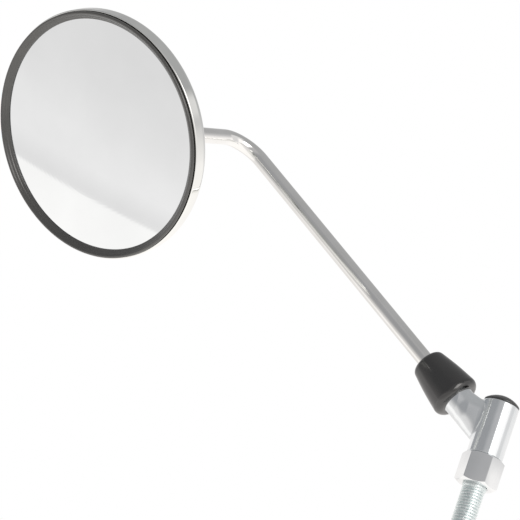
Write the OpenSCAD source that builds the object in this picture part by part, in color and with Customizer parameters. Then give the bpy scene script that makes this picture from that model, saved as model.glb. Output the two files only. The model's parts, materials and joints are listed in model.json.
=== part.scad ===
// Round handlebar mirror: threaded stud, swivelling holder, bent arm and a head on a ball joint.
// The origin is on the stud's axis at the lower face of its collar, and +Z runs up the stud.
// The arm leans towards -X, and its short leg carries the head, whose glass looks along -Y and down.

/* [Stud and lock nut] */
// Outer diameter of the stud's thread
stud_d = 10; // [8:0.5:10]
// Free thread below the stud's collar
stud_free = 21; // [14:1:40]
// Diameter of the collar between the free thread and the lock nut
stud_collar_d = 10.5; // [10.4:0.1:12.4]
// Height of that collar
stud_collar_h = 1; // [0.6:0.1:2]
// Length of the stud inside the holder
stud_reach = 15; // [10:0.5:18]
// Chamfer at both ends of the stud
stud_chamfer = 1; // [0.5:0.1:1.5]
// Radial clearance of the stud in the holder's bore
stud_clear = 0.05; // [0.02:0.01:0.1]
// Width of the lock nut across its flats
nut_af = 16; // [14:0.5:19]
// Height of the lock nut
nut_h = 13; // [6:0.5:14]
// Width of the chamfer at the lock nut's corners
nut_bevel = 1.7; // [1:0.1:2.2]
// Angle to which the lock nut is tightened
nut_turn = 5; // [0:1:59]

/* [Holder] */
// Diameter of the upright barrel
barrel_d = 15.4; // [14.5:0.1:20]
// Height of the barrel
barrel_h = 23.9; // [22.5:0.1:32]
// Rounding of the barrel's upper edge
barrel_round = 0.6; // [0.2:0.1:1]
// Height above the barrel's foot at which the spigot's axis meets the barrel's axis
spigot_rise = 8.3; // [7:0.1:9]
// Diameter of the spigot that the arm screws into
spigot_d = 13.6; // [12:0.1:15]
// Distance from the barrel's axis to the end of the spigot
spigot_len = 26; // [22:0.5:32]
// Diameter of the round web between the spigot's top and the barrel
web_d = 11; // [8:0.5:12]
// Angle of the arm above the level
arm_lean = 35; // [25:1:45]
// Height of the domed top of the cap
cap_dome = 3.6; // [1.5:0.1:4]
// Diameter of the cap's stem in the barrel's bore
cap_stem_d = 11; // [10.4:0.1:12]
// Length of the cap's stem
cap_stem_len = 5; // [3:0.5:7]

/* [Arm] */
// Diameter of the arm's rod
arm_d = 7; // [6.6:0.1:9]
// Distance along the arm from the barrel's axis to the corner of the bend
arm_len = 189; // [120:1:260]
// Distance from the corner of the bend to the middle of the ball
leg_len = 89; // [60:1:120]
// Radius of the bend along the rod's middle
bend_r = 14; // [10:0.5:20]
// Direction of the short leg seen from above, from -X towards -Y
leg_turn = 75; // [60:1:90]
// Angle of the short leg below the level
leg_drop = 27; // [15:1:35]
// Outer diameter of the thread at the arm's foot
arm_thread_d = 6; // [5:0.5:6.5]
// Radial clearance of that thread in the spigot's bore
arm_clear = 0.05; // [0.02:0.01:0.1]
// Width of the arm's lock nut across its flats
arm_nut_af = 10; // [8:0.5:11]
// Height of the arm's lock nut
arm_nut_h = 5; // [3:0.5:6]
// Outer diameter of the washer under that nut
arm_washer_d = 12.4; // [10:0.1:13]
// Thickness of that washer
arm_washer_t = 1; // [0.6:0.1:1.6]

/* [Rubber boot] */
// Length of the boot
boot_len = 23; // [20:0.5:30]
// Outer diameter at the boot's upper end
boot_top_d = 15.2; // [12:0.1:18]
// Outer diameter near the boot's mouth
boot_base_d = 21.2; // [19:0.1:26]
// How far the boot covers the spigot
boot_lap = 4; // [2:0.5:6]
// Rounding of the boot's upper edge
boot_top_round = 2.6; // [1:0.1:3]
// Rounding of the boot's mouth
boot_base_round = 3; // [1.5:0.1:3.2]
// Radial clearance of the boot on the spigot and on the rod
boot_clear = 0.06; // [0.03:0.01:0.1]

/* [Ball joint] */
// Diameter of the ball
ball_d = 14; // [12:0.5:16]
// Diameter of the arm's neck behind the ball
neck_d = 5; // [4:0.1:5.4]
// Length of the neck from the middle of the ball
neck_len = 13.5; // [13:0.1:18]
// Wall of the friction seats
seat_t = 1.95; // [1.5:0.05:2.4]
// Radial clearance of the seats, on the ball and in the plates
seat_clear = 0.05; // [0.03:0.01:0.1]
// Angle by which each seat stops short of the ball's equator
seat_gap_angle = 8.5; // [8:0.1:10]
// Radius of the hole in the rear seat
rear_hole_r = 5.1; // [4.9:0.1:5.6]
// Distance of each plate's inner face from the ball's equator
plate_split = 3; // [2.5:0.1:4]
// Thickness of the socket plate
socket_plate_t = 1; // [0.8:0.1:1.4]
// Thickness of the pressure plate
press_plate_t = 1.2; // [0.8:0.1:1.6]
// Diameter of the clamp screws
screw_d = 3; // [2.5:0.5:4]
// Room between the dished part of the plates and the middle of the screws
screw_margin = 4.75; // [4.5:0.25:6]

/* [Head] */
// Direction of the glass seen from above, from -Y towards -X
head_turn = 15; // [0:1:30]
// Angle by which the glass looks down
head_drop = 40; // [30:1:50]
// Diameter of the mirror glass
glass_d = 99.8; // [80:0.2:130]
// Thickness of the glass
glass_t = 2; // [1.6:0.1:3]
// Radius of the glass's curved face
glass_curve = 1200; // [600:50:2000]
// Width of the rubber lip over the glass
lip_w = 0.9; // [0.8:0.1:2]
// Thickness of the foam pad at the glass's edge
pad_t = 1; // [0.6:0.1:2]
// Thickness of the backing disc
disc_t = 0.8; // [0.6:0.1:1.2]
// Wall of the rubber ring around the glass
ring_wall = 2.4; // [2:0.1:3]
// Height of the rubber ring's bead above the glass
bead_h = 2.65; // [2.2:0.05:3.4]
// Diameter of that bead
bead_d = 1.5; // [1.2:0.1:1.6]
// How far the bead stands out over the ring's wall
bead_over = 0.25; // [0:0.05:0.4]
// Wall of the shell
shell_t = 0.9; // [0.7:0.1:1.2]
// Height of the shell's rounded rim above the glass's edge
rim_rise = 0.5; // [0:0.1:0.6]
// Radius of the shell's outer corner behind the rim
shell_corner = 4; // [2.5:0.1:6]
// Gap between the socket plate's dish and the shell's pole
shell_gap = 0.75; // [0.6:0.05:2]
// Radius of the hole in the shell for the arm
shell_hole_r = 6.6; // [6.4:0.1:8]

/* [Hidden] */
$fn = 96;

chrome = "#c9cdd0";
zinc = "#cfdcdf";
steel = "#a9adb0";
rubber = "#343433";
nylon = "#e4e0d4";
silver_glass = "#dcdfe0";
foam = "#6d6a64";
cut = 1;

// Heights along the stud
nut_z = stud_collar_h;
barrel_z = nut_z + nut_h;
spigot_z = barrel_z + spigot_rise;
barrel_top = barrel_z + barrel_h;

// The arm's two directions and the plane that holds them
arm_dir = [-cos(arm_lean), 0, sin(arm_lean)];
leg_dir = [-cos(leg_drop)*cos(leg_turn), -cos(leg_drop)*sin(leg_turn), -sin(leg_drop)];
bend_angle = acos(arm_dir*leg_dir);
bend_cross = cross(arm_dir, leg_dir);
bend_axis = bend_cross/norm(bend_cross);
bend_side = cross(bend_axis, arm_dir);
bend_reach = bend_r*tan(bend_angle/2);
spigot_centre = [0, 0, spigot_z];
bend_centre = spigot_centre + arm_len*arm_dir;
ball_centre = bend_centre + leg_len*leg_dir;

// Places along the arm, measured from the barrel's axis
thread_start = (barrel_d/2)/cos(arm_lean) + 0.6;
foot_gap = 0.4;
nut_seat = spigot_len + arm_washer_t;
shoulder = nut_seat + arm_nut_h + 0.5;
neck_cone = 1;
boot_start = spigot_len - boot_lap;
boot_end = boot_start + boot_len;

// Radii and depths of the ball joint, in the head's own frame with the ball at the origin
ball_r = ball_d/2;
seat_in = ball_r + seat_clear;
seat_out = seat_in + seat_t;
dish_in = seat_out + seat_clear;
socket_out = dish_in + socket_plate_t;
press_out = dish_in + press_plate_t;
seat_edge = seat_out*sin(seat_gap_angle);
front_hole_r = ball_r/2;
socket_hole_r = rear_hole_r + 0.5;
socket_low = sqrt(socket_out*socket_out - socket_hole_r*socket_hole_r);
press_top = dish_in - 0.85;
screw_circle = press_out + screw_margin;
press_flange_r = screw_circle + screw_d*1.5;
screw_hole_r = screw_d/2 + 0.1;
screw_head_h = 2*screw_d/3;
screw_head_r = 0.92*screw_d;
spring_h = 1.4;
spring_t = 0.5;
spring_r = 1.17*screw_d;
clamp_nut_af = 1.83*screw_d;
clamp_nut_h = 0.8*screw_d;
spring_z = plate_split + press_plate_t;
clamp_nut_z = spring_z + spring_h;
screw_tip = clamp_nut_z + clamp_nut_h + 1;

// Depths of the head's layers, and the shell's curve
inner_gap = 3.2;
disc_z = max(screw_tip, press_top) + inner_gap;
pad_z = disc_z + disc_t;
glass_back = pad_z + pad_t;
glass_plane = glass_back + glass_t;
glass_r = glass_d/2;
view_r = glass_r - lip_w;
ring_flange_t = 1;
ring_flange_w = 2.7;
ring_foot = disc_z - ring_flange_t;
ring_r = glass_r + ring_wall - 0.2;
ring_slope = 1.4;
shell_r = ring_r + shell_t;
rim_z = ring_foot + ring_slope;
rim_edge = glass_plane + rim_rise;
pole_z = -socket_low - shell_gap - shell_t;
corner_r = shell_r - shell_corner;
dome_k = (rim_z - shell_corner - pole_z)/corner_r;
dome_angle = 90 - 2*atan(dome_k);
dome_z = rim_z + corner_r*tan(dome_angle);
dome_r = corner_r/cos(dome_angle) + shell_corner;
dome_in = dome_r - shell_t;
socket_flange_z = -plate_split - socket_plate_t;
socket_flange_r = sqrt(dome_in*dome_in - pow(dome_z - socket_flange_z, 2)) - 0.05;

// Points of an arc about a centre, from one angle to another
function arc(c, r, a0, a1, n) =
    [for (i = [0:n]) c + r*[cos(a0 + (a1 - a0)*i/n), sin(a0 + (a1 - a0)*i/n)]];

// Height of the glass's front face at a radius
function glass_front(r) =
    glass_plane + sqrt(pow(glass_curve, 2) - r*r) - sqrt(pow(glass_curve, 2) - pow(view_r, 2));

// Places children so that +Z runs along the arm from the barrel's axis
module along_arm() {
    translate(spigot_centre) rotate([0, arm_lean - 90, 0]) children();
}

// Places children at the bend, with X along the arm and Z along the bend's axis
module at_bend() {
    multmatrix([[arm_dir[0], bend_side[0], bend_axis[0], bend_centre[0]],
                [arm_dir[1], bend_side[1], bend_axis[1], bend_centre[1]],
                [arm_dir[2], bend_side[2], bend_axis[2], bend_centre[2]],
                [0, 0, 0, 1]]) children();
}

// Places children at the ball, with +Z along the short leg
module along_leg() {
    at_bend() rotate([0, 0, bend_angle]) translate([leg_len, 0, 0]) rotate([0, 90, 0]) children();
}

// Places children at the ball, with +Z out of the glass
module in_head() {
    translate(ball_centre) rotate([90 + head_drop, 0, -head_turn]) children();
}

// Hexagonal nut with chamfered corners, standing on Z = 0
module hex_nut(af, h, bore_r, bevel) {
    corner = af/2/cos(30);
    difference() {
        intersection() {
            cylinder(r = corner, h = h, $fn = 6);
            rotate_extrude() polygon([[0, 0], [corner - bevel, 0], [corner, bevel*0.6],
                [corner, h - bevel*0.6], [corner - bevel, h], [0, h]]);
        }
        translate([0, 0, -cut]) cylinder(r = bore_r, h = h + 2*cut);
    }
}

module stud() {
    r = stud_d/2;
    top = barrel_z + stud_reach;
    collar_r = stud_collar_d/2;
    edge = 0.15;
    color(zinc) rotate_extrude() polygon([[0, -stud_free], [r - stud_chamfer, -stud_free],
        [r, stud_chamfer - stud_free], [r, 0], [collar_r - edge, 0], [collar_r, edge], [collar_r, nut_z],
        [r, nut_z], [r, top - stud_chamfer], [r - stud_chamfer, top], [0, top]]);
}

module lock_nut() {
    color(chrome) translate([0, 0, nut_z]) rotate([0, 0, nut_turn])
        hex_nut(nut_af, nut_h, stud_d/2 + stud_clear, nut_bevel);
}

// Round web that runs level from the barrel into the spigot and fills the corner above it
module holder_web() {
    web_z = barrel_top - barrel_round - web_d/2;
    reach = (web_z - spigot_z)/tan(arm_lean);
    translate([0, 0, web_z]) rotate([0, -90, 0]) cylinder(d = web_d, h = reach);
}

module holder() {
    r = barrel_d/2;
    color(chrome) difference() {
        union() {
            translate([0, 0, barrel_z]) rotate_extrude() polygon(concat(
                [[0, 0], [r - 0.3, 0], [r, 0.3]],
                arc([r - barrel_round, barrel_h - barrel_round], barrel_round, 0, 90, 4),
                [[0, barrel_h]]));
            along_arm() rotate_extrude() polygon([[0, 0], [spigot_d/2, 0], [spigot_d/2, spigot_len - 0.5],
                [spigot_d/2 - 0.5, spigot_len], [0, spigot_len]]);
            holder_web();
        }
        translate([0, 0, barrel_z - cut]) cylinder(r = stud_d/2 + stud_clear, h = barrel_h);
        translate([0, 0, barrel_top - cap_stem_len - 1]) cylinder(d = cap_stem_d, h = cap_stem_len + 1 + cut);
        along_arm() translate([0, 0, thread_start]) cylinder(r = arm_thread_d/2 + arm_clear, h = spigot_len);
        translate([0, 0, barrel_z - spigot_len]) cylinder(r = spigot_len, h = spigot_len);
    }
}

module barrel_cap() {
    edge = 0.6;
    r = barrel_d/2 - barrel_round;
    sphere_r = (r*r + pow(cap_dome - edge, 2))/(2*(cap_dome - edge));
    sweep = asin(r/sphere_r);
    color(rubber) translate([0, 0, barrel_top]) rotate_extrude() polygon(concat(
        [[0, -cap_stem_len], [cap_stem_d/2 - 0.5, -cap_stem_len], [cap_stem_d/2, 0.5 - cap_stem_len],
         [cap_stem_d/2, 0], [r, 0]],
        arc([0, cap_dome - sphere_r], sphere_r, 90 - sweep, 90, 9)));
}

module arm_rod() {
    r = arm_d/2;
    thread_r = arm_thread_d/2;
    neck_r = neck_d/2;
    straight = arm_len - bend_reach;
    // The bend runs a little way into the straight legs, a hair thinner than they are
    lap_angle = 1;
    lap_skin = 0.005;
    color(chrome) union() {
        along_arm() rotate_extrude() polygon([[0, thread_start + foot_gap],
            [thread_r - 0.6, thread_start + foot_gap], [thread_r, thread_start + foot_gap + 0.6],
            [thread_r, shoulder], [r - 0.3, shoulder], [r, shoulder + 0.3], [r, straight], [0, straight]]);
        at_bend() translate([-bend_reach, bend_r, 0]) rotate([0, 0, -90 - lap_angle])
            rotate_extrude(angle = bend_angle + 2*lap_angle) translate([bend_r, 0]) circle(r = r - lap_skin);
        along_leg() rotate_extrude() polygon([[0, bend_reach - leg_len], [r, bend_reach - leg_len],
            [r, -neck_len - neck_cone], [neck_r, -neck_len], [neck_r, ball_r/2], [0, ball_r/2]]);
    }
}

module arm_washer() {
    color(steel) along_arm() translate([0, 0, spigot_len]) difference() {
        cylinder(d = arm_washer_d, h = arm_washer_t);
        translate([0, 0, -cut]) cylinder(r = arm_thread_d/2 + 0.2, h = arm_washer_t + 2*cut);
    }
}

module arm_lock_nut() {
    color(steel) along_arm() translate([0, 0, nut_seat])
        hex_nut(arm_nut_af, arm_nut_h, arm_thread_d/2, 0.7);
}

// Rubber boot: a flared sleeve, rounded at both ends, hollow over the nut and tight on the rod
module boot() {
    top_r = boot_top_d/2;
    base_r = boot_base_d/2;
    mouth_r = spigot_d/2 + boot_clear;
    rod_r = arm_d/2 + boot_clear;
    hollow = shoulder + 1 - boot_start;
    lean = atan((base_r - top_r)/(boot_len - boot_top_round - boot_base_round));
    color(rubber) along_arm() translate([0, 0, boot_start]) rotate_extrude() polygon(concat(
        [[mouth_r, 0.5], [mouth_r + 0.3, 0]],
        arc([base_r - boot_base_round, boot_base_round], boot_base_round, -90, lean, 8),
        arc([top_r - boot_top_round, boot_len - boot_top_round], boot_top_round, lean, 90, 8),
        [[rod_r + 0.3, boot_len], [rod_r, boot_len - 0.3], [rod_r, hollow + 3],
         [mouth_r, hollow]]));
}

module ball_end() {
    color(steel) along_leg() difference() {
        sphere(r = ball_r);
        translate([0, 0, -ball_d]) cylinder(r = neck_d/2, h = ball_d + ball_r/2);
    }
}

// Zone of a hollow ball between two levels, with a round hole along its axis
module seat_zone(low, high, hole_r) {
    difference() {
        sphere(r = seat_out);
        sphere(r = seat_in);
        translate([0, 0, low - 2*seat_out]) cylinder(r = 2*seat_out, h = 2*seat_out);
        translate([0, 0, high]) cylinder(r = 2*seat_out, h = 2*seat_out);
        translate([0, 0, -2*seat_out]) cylinder(r = hole_r, h = 4*seat_out);
    }
}

// The front seat lines up with the short leg, the rear seat with the head
module front_seat() {
    color(nylon) along_leg() seat_zone(seat_edge, seat_out + cut, front_hole_r);
}

module rear_seat() {
    color(nylon) in_head() seat_zone(-seat_out - cut, -seat_edge, rear_hole_r);
}

// Places children at each clamp screw, by number
module at_screw(i) {
    in_head() rotate([0, 0, 90 + 120*i]) translate([screw_circle, 0, 0]) children();
}

module screw_holes(z, h) {
    for (i = [0:2]) rotate([0, 0, 90 + 120*i]) translate([screw_circle, 0, z]) cylinder(r = screw_hole_r, h = h);
}

// Dished plate welded inside the shell, which carries the rear seat
module socket_plate() {
    color(steel) in_head() difference() {
        union() {
            sphere(r = socket_out);
            translate([0, 0, socket_flange_z]) cylinder(r = socket_flange_r, h = socket_plate_t);
        }
        sphere(r = dish_in);
        translate([0, 0, -plate_split]) cylinder(r = 2*socket_out, h = 2*socket_out);
        translate([0, 0, -2*socket_out]) cylinder(r = socket_hole_r, h = 2*socket_out);
        screw_holes(socket_flange_z - cut, socket_plate_t + 2*cut);
    }
}

// Dished plate that the springs press on the front seat
module pressure_plate() {
    color(steel) in_head() difference() {
        union() {
            sphere(r = press_out);
            translate([0, 0, plate_split]) cylinder(r = press_flange_r, h = press_plate_t);
        }
        sphere(r = dish_in);
        translate([0, 0, plate_split - 2*press_out]) cylinder(r = 2*press_out, h = 2*press_out);
        translate([0, 0, press_top]) cylinder(r = press_out, h = press_out);
        screw_holes(plate_split - cut, press_plate_t + 2*cut);
    }
}

module clamp_screw(i) {
    color(zinc) at_screw(i) union() {
        translate([0, 0, socket_flange_z - screw_head_h]) rotate_extrude() polygon(concat([[0, 0]],
            arc([screw_head_r - 1, 1], 1, -90, 0, 4), [[screw_head_r, screw_head_h], [0, screw_head_h]]));
        translate([0, 0, socket_flange_z - cut/2]) cylinder(d = screw_d, h = screw_tip - socket_flange_z + cut/2);
    }
}

// Cupped spring washer, higher at its bore than at its rim
module cup_spring(i) {
    bore = screw_d/2 + 0.1;
    color(steel) at_screw(i) translate([0, 0, spring_z]) rotate_extrude() polygon([
        [spring_r, 0], [spring_r, spring_t], [bore, spring_h], [bore, spring_h - spring_t]]);
}

module clamp_nut(i) {
    color(zinc) at_screw(i) translate([0, 0, clamp_nut_z]) hex_nut(clamp_nut_af, clamp_nut_h, screw_d/2, 0.4);
}

module backing_disc() {
    color(steel) in_head() translate([0, 0, disc_z]) cylinder(r = glass_r, h = disc_t);
}

module foam_pad() {
    steps = 8;
    color(foam) in_head() rotate_extrude() polygon(concat([[0, pad_z], [glass_r, pad_z]],
        [for (i = [0:steps]) let (r = glass_r*(1 - i/steps)) [r, glass_front(r) - glass_t]]));
}

module mirror_glass() {
    steps = 8;
    color(silver_glass) in_head() rotate_extrude() polygon(concat(
        [for (i = [0:steps]) let (r = glass_r*i/steps) [r, glass_front(r) - glass_t]],
        [for (i = [0:steps]) let (r = glass_r*(1 - i/steps)) [r, glass_front(r)]]));
}

// Rubber ring: a channel round the layers, with an outer bead and a flank down to the glass
module rim_ring() {
    lip_r = 0.3;
    bead_r = bead_d/2;
    bead_c = [ring_r + bead_over - bead_r, glass_plane + bead_h - bead_r];
    lip_c = [view_r + lip_r, glass_plane + lip_r];
    color(rubber) in_head() rotate_extrude() polygon(concat(
        [[glass_r - ring_flange_w, ring_foot], [ring_r - 1.2, ring_foot], [ring_r, rim_z],
         [ring_r, rim_edge]],
        arc(bead_c, bead_r, -60, 135, 13),
        arc(lip_c, lip_r, 135, 180, 4),
        [[view_r, glass_plane], [glass_r, glass_plane], [glass_r, disc_z],
         [glass_r - ring_flange_w, disc_z]]));
}

// Chrome shell: a straight rim, a round corner and a shallow dome with the arm's hole at its pole
module shell() {
    edge_r = shell_t/2;
    hole_out = asin(shell_hole_r/dome_r);
    hole_in = asin(shell_hole_r/dome_in);
    color(chrome) in_head() rotate_extrude() polygon(concat(
        arc([shell_r - edge_r, rim_edge], edge_r, 180, 0, 8),
        arc([corner_r, rim_z], shell_corner, 0, -dome_angle, 8),
        arc([0, dome_z], dome_r, -dome_angle - 2, hole_out - 90, 14),
        arc([0, dome_z], dome_in, hole_in - 90, -dome_angle - 2, 14),
        arc([corner_r, rim_z], shell_corner - shell_t, -dome_angle, 0, 8)));
}

stud();
lock_nut();
holder();
barrel_cap();
arm_rod();
arm_washer();
arm_lock_nut();
boot();
ball_end();
front_seat();
rear_seat();
socket_plate();
pressure_plate();
clamp_screw(0);  // clamp_screw_1
clamp_screw(1);  // clamp_screw_2
clamp_screw(2);  // clamp_screw_3
cup_spring(0);  // cup_spring_1
cup_spring(1);  // cup_spring_2
cup_spring(2);  // cup_spring_3
clamp_nut(0);  // clamp_nut_1
clamp_nut(1);  // clamp_nut_2
clamp_nut(2);  // clamp_nut_3
backing_disc();
foam_pad();
mirror_glass();
rim_ring();
shell();
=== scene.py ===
import json
import math

import bmesh
import bpy
import numpy as np
from mathutils import Matrix, Vector


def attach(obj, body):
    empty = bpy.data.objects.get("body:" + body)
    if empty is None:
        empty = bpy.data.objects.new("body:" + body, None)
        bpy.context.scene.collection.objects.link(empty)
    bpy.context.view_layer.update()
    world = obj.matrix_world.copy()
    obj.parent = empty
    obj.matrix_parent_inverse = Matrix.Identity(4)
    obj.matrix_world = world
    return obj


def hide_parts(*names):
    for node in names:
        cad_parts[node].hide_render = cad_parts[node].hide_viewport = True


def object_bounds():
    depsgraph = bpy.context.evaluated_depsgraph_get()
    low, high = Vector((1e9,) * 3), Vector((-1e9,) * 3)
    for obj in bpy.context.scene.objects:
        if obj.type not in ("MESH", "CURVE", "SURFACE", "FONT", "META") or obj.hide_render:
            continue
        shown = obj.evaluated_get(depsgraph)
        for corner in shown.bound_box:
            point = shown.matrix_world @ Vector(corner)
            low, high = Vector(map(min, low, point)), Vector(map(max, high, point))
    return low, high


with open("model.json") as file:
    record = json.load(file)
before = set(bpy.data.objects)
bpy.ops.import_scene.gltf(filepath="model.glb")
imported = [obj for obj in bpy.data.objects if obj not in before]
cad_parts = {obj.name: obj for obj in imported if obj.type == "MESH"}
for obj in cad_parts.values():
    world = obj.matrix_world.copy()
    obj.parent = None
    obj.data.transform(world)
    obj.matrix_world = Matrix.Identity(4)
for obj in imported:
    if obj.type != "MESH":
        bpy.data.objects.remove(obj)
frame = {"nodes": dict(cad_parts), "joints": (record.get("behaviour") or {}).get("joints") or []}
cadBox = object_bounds()

# Round handlebar mirror: chromed shell and rubber ring on a bent rod, boot, swivel holder and stud.
mm = 0.001
joints = {joint["name"]: joint for joint in frame["joints"]}


# Places: each matrix takes a piece's own millimetres to the object's metres, +Z along the piece
def placeAlong(centre, zDir, xDir):
    z = Vector(zDir).normalized()
    y = z.cross(Vector(xDir)).normalized()
    x = y.cross(z)
    turn = Matrix((x, y, z)).transposed().to_4x4()
    return Matrix.Translation(Vector(centre)) @ turn @ Matrix.Scale(mm, 4)


ballPlace = Vector(joints["head_spin"]["pos_m"])
armDir = Vector(joints["arm_twist"]["axis"])
legDir = Vector(joints["head_spin"]["axis"])
nodDir = Vector(joints["head_tilt"]["axis"])
panDir = Vector(joints["head_pan"]["axis"])
onStud = placeAlong((0, 0, 0), (0, 0, 1), (1, 0, 0))
onArm = placeAlong(joints["arm_twist"]["pos_m"], armDir, (0, 1, 0))
onHead = placeAlong(ballPlace, nodDir.cross(panDir), nodDir)


# Colours are written as they look, and turned linear here
def linearColour(hexText):
    parts = [int(hexText[i:i + 2], 16) / 255 for i in (1, 3, 5)]
    return tuple(c / 12.92 if c <= 0.04045 else ((c + 0.055) / 1.055) ** 2.4 for c in parts) + (1.0,)


# Adds one node, with its settings and with values or links into its inputs
def addNode(tree, kind, settings=None, inputs=None):
    node = tree.nodes.new(kind)
    for key, value in (settings or {}).items():
        setattr(node, key, value)
    for key, value in (inputs or {}).items():
        if isinstance(value, bpy.types.NodeSocket):
            tree.links.new(value, node.inputs[key])
        else:
            node.inputs[key].default_value = value
    return node


# Outlines are lists of (radius, height) in millimetres
def arcPoints(centre, radius, start, end, steps):
    angles = [math.radians(start + (end - start) * i / steps) for i in range(steps + 1)]
    return [(centre[0] + radius * math.cos(a), centre[1] + radius * math.sin(a)) for a in angles]


# Long straight stretches get points close to their ends, so that their shading stays flat
def heldOutline(outline, closed, hold=0.12, longest=0.8):
    held = []
    count = len(outline)
    for i in range(count if closed else count - 1):
        a, b = Vector(outline[i]), Vector(outline[(i + 1) % count])
        held.append(tuple(a))
        span = (b - a).length
        if span > longest:
            held.append(tuple(a.lerp(b, hold / span)))
            held.append(tuple(a.lerp(b, 1 - hold / span)))
    if not closed:
        held.append(outline[-1])
    return held


def meshPiece(name, verts, faces, place, material):
    mesh = bpy.data.meshes.new(name)
    mesh.from_pydata([place @ Vector(v) for v in verts], [], faces)
    mesh.validate()
    mesh.shade_smooth()
    piece = bpy.data.objects.new(name, mesh)
    bpy.context.scene.collection.objects.link(piece)
    piece.data.materials.append(material)
    return piece


axisReach = 1e-6  # an outline's point nearer to the axis than this is on it


# A turned piece; the outline runs with the solid on its left, and may start and end on the axis
def turnedPiece(name, outline, place, material, sides=256):
    closed = outline[0][0] > axisReach
    rows = heldOutline(outline, closed)
    turn = [(math.cos(2 * math.pi * k / sides), math.sin(2 * math.pi * k / sides)) for k in range(sides)]
    verts, starts = [], []
    for r, z in rows:
        starts.append(len(verts))
        verts += [(0, 0, z)] if r < axisReach else [(r * c, r * s, z) for c, s in turn]
    faces = []
    for i in range(len(rows) if closed else len(rows) - 1):
        a, b = starts[i], starts[(i + 1) % len(rows)]
        poleA, poleB = rows[i][0] < axisReach, rows[(i + 1) % len(rows)][0] < axisReach
        for k in range(sides):
            n = (k + 1) % sides
            if poleA:
                faces.append((a, b + n, b + k))
            elif poleB:
                faces.append((a + k, a + n, b))
            else:
                faces.append((a + k, a + n, b + n, b + k))
    return meshPiece(name, verts, faces, place, material)


# Faces of a closed mesh are turned outwards
def turnNormalsOut(piece):
    work = bmesh.new()
    work.from_mesh(piece.data)
    bmesh.ops.recalc_face_normals(work, faces=work.faces)
    work.to_mesh(piece.data)
    work.free()


# The piece rides on a body, and stands for the CAD nodes that it covers
def dress(piece, body, slotName, *nodes):
    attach(piece, body)
    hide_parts(*nodes)
    return piece


# A material with its shader's fixed values; its patterns are laid out in the piece's own metres
def newMaterial(name, settings):
    material = bpy.data.materials.new(name)
    material.use_nodes = True
    tree = material.node_tree
    shader = tree.nodes["Principled BSDF"]
    for key, value in settings.items():
        shader.inputs[key].default_value = value
    place = addNode(tree, "ShaderNodeTexCoord").outputs["Object"]
    return material, tree, shader, place


# Noise at a real size in millimetres; it keeps mostly between 0.3 and 0.7, and is spread between two ends
def noiseBetween(tree, place, sizeMm, low, high, detail=3.0):
    noise = addNode(tree, "ShaderNodeTexNoise", {}, {
        "Vector": place, "Scale": 1 / (sizeMm * mm), "Detail": detail})
    return addNode(tree, "ShaderNodeMapRange", {}, {
        "Value": noise.outputs["Fac"], "From Min": 0.3, "From Max": 0.7, "To Min": low, "To Max": high,
    }).outputs["Result"]


def addBump(tree, shader, height, depthMm):
    bump = addNode(tree, "ShaderNodeBump", {}, {"Height": height, "Strength": 1.0, "Distance": depthMm * mm})
    tree.links.new(bump.outputs["Normal"], shader.inputs["Normal"])


def mixColours(tree, factor, low, high):
    mix = addNode(tree, "ShaderNodeMix", {"data_type": "RGBA"}, {0: factor})
    mix.inputs[6].default_value = linearColour(low)
    mix.inputs[7].default_value = linearColour(high)
    return mix.outputs[2]


# Bright nickel-chrome plating: sharp reflections, and a faint waviness from the polished metal below
def chromePlate(name, tint, shade, waveMm, waveDepthMm, rough):
    material, tree, shader, place = newMaterial(name, {"Metallic": 1.0})
    cloud = noiseBetween(tree, place, 9.0, 0.0, 1.0)
    tree.links.new(mixColours(tree, cloud, shade, tint), shader.inputs["Base Color"])
    tree.links.new(noiseBetween(tree, place, 1.4, *rough), shader.inputs["Roughness"])
    addBump(tree, shader, noiseBetween(tree, place, waveMm, 0.0, 1.0, detail=1.0), waveDepthMm)
    return material


rodChrome = chromePlate("chromePlatedRod", "#ECECEB", "#E6E6E4",
                        waveMm=5.0, waveDepthMm=0.004, rough=(0.05, 0.09))
castChrome = chromePlate("chromePlatedCasting", "#E9ECEE", "#E1E5E7",
                         waveMm=4.0, waveDepthMm=0.005, rough=(0.11, 0.16))
nutChrome = chromePlate("chromePlatedHexagon", "#E9EBEC", "#E3E5E6",
                        waveMm=3.0, waveDepthMm=0.003, rough=(0.06, 0.10))
shellChrome = chromePlate("chromePlatedPressing", "#EDEEEB", "#E7E8E6",
                          waveMm=12.0, waveDepthMm=0.004, rough=(0.03, 0.06))


# Zinc plating, bright and slightly blue: soft reflections with small cloudy patches
def zincPlate(name):
    material, tree, shader, place = newMaterial(name, {"Metallic": 1.0})
    cloud = noiseBetween(tree, place, 2.2, 0.0, 1.0)
    tree.links.new(mixColours(tree, cloud, "#E9F1F1", "#F3F8F8"), shader.inputs["Base Color"])
    tree.links.new(noiseBetween(tree, place, 0.8, 0.40, 0.50), shader.inputs["Roughness"])
    addBump(tree, shader, noiseBetween(tree, place, 0.9, 0.0, 1.0), 0.002)
    return material


zincBright = zincPlate("zincPlatedSteel")


# Bare pressed steel: grey, with fine rolling marks drawn coarser than the real ones
def pressedSteel(name, low, high, roughness):
    material, tree, shader, place = newMaterial(name, {"Metallic": 1.0})
    grain = addNode(tree, "ShaderNodeMapping", {}, {"Vector": place, "Scale": (1.0, 1.0, 0.08)})
    lines = noiseBetween(tree, grain.outputs["Vector"], 0.25, 0.0, 1.0, detail=4.0)
    tree.links.new(mixColours(tree, lines, low, high), shader.inputs["Base Color"])
    rough = noiseBetween(tree, place, 3.0, roughness - 0.06, roughness + 0.06)
    tree.links.new(rough, shader.inputs["Roughness"])
    addBump(tree, shader, lines, 0.004)
    return material


plainSteel = pressedSteel("rolledSteel", "#A4A8AB", "#C1C4C6", roughness=0.32)
springSteel = pressedSteel("hardenedSpringSteel", "#5E6064", "#7E8186", roughness=0.38)


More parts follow.
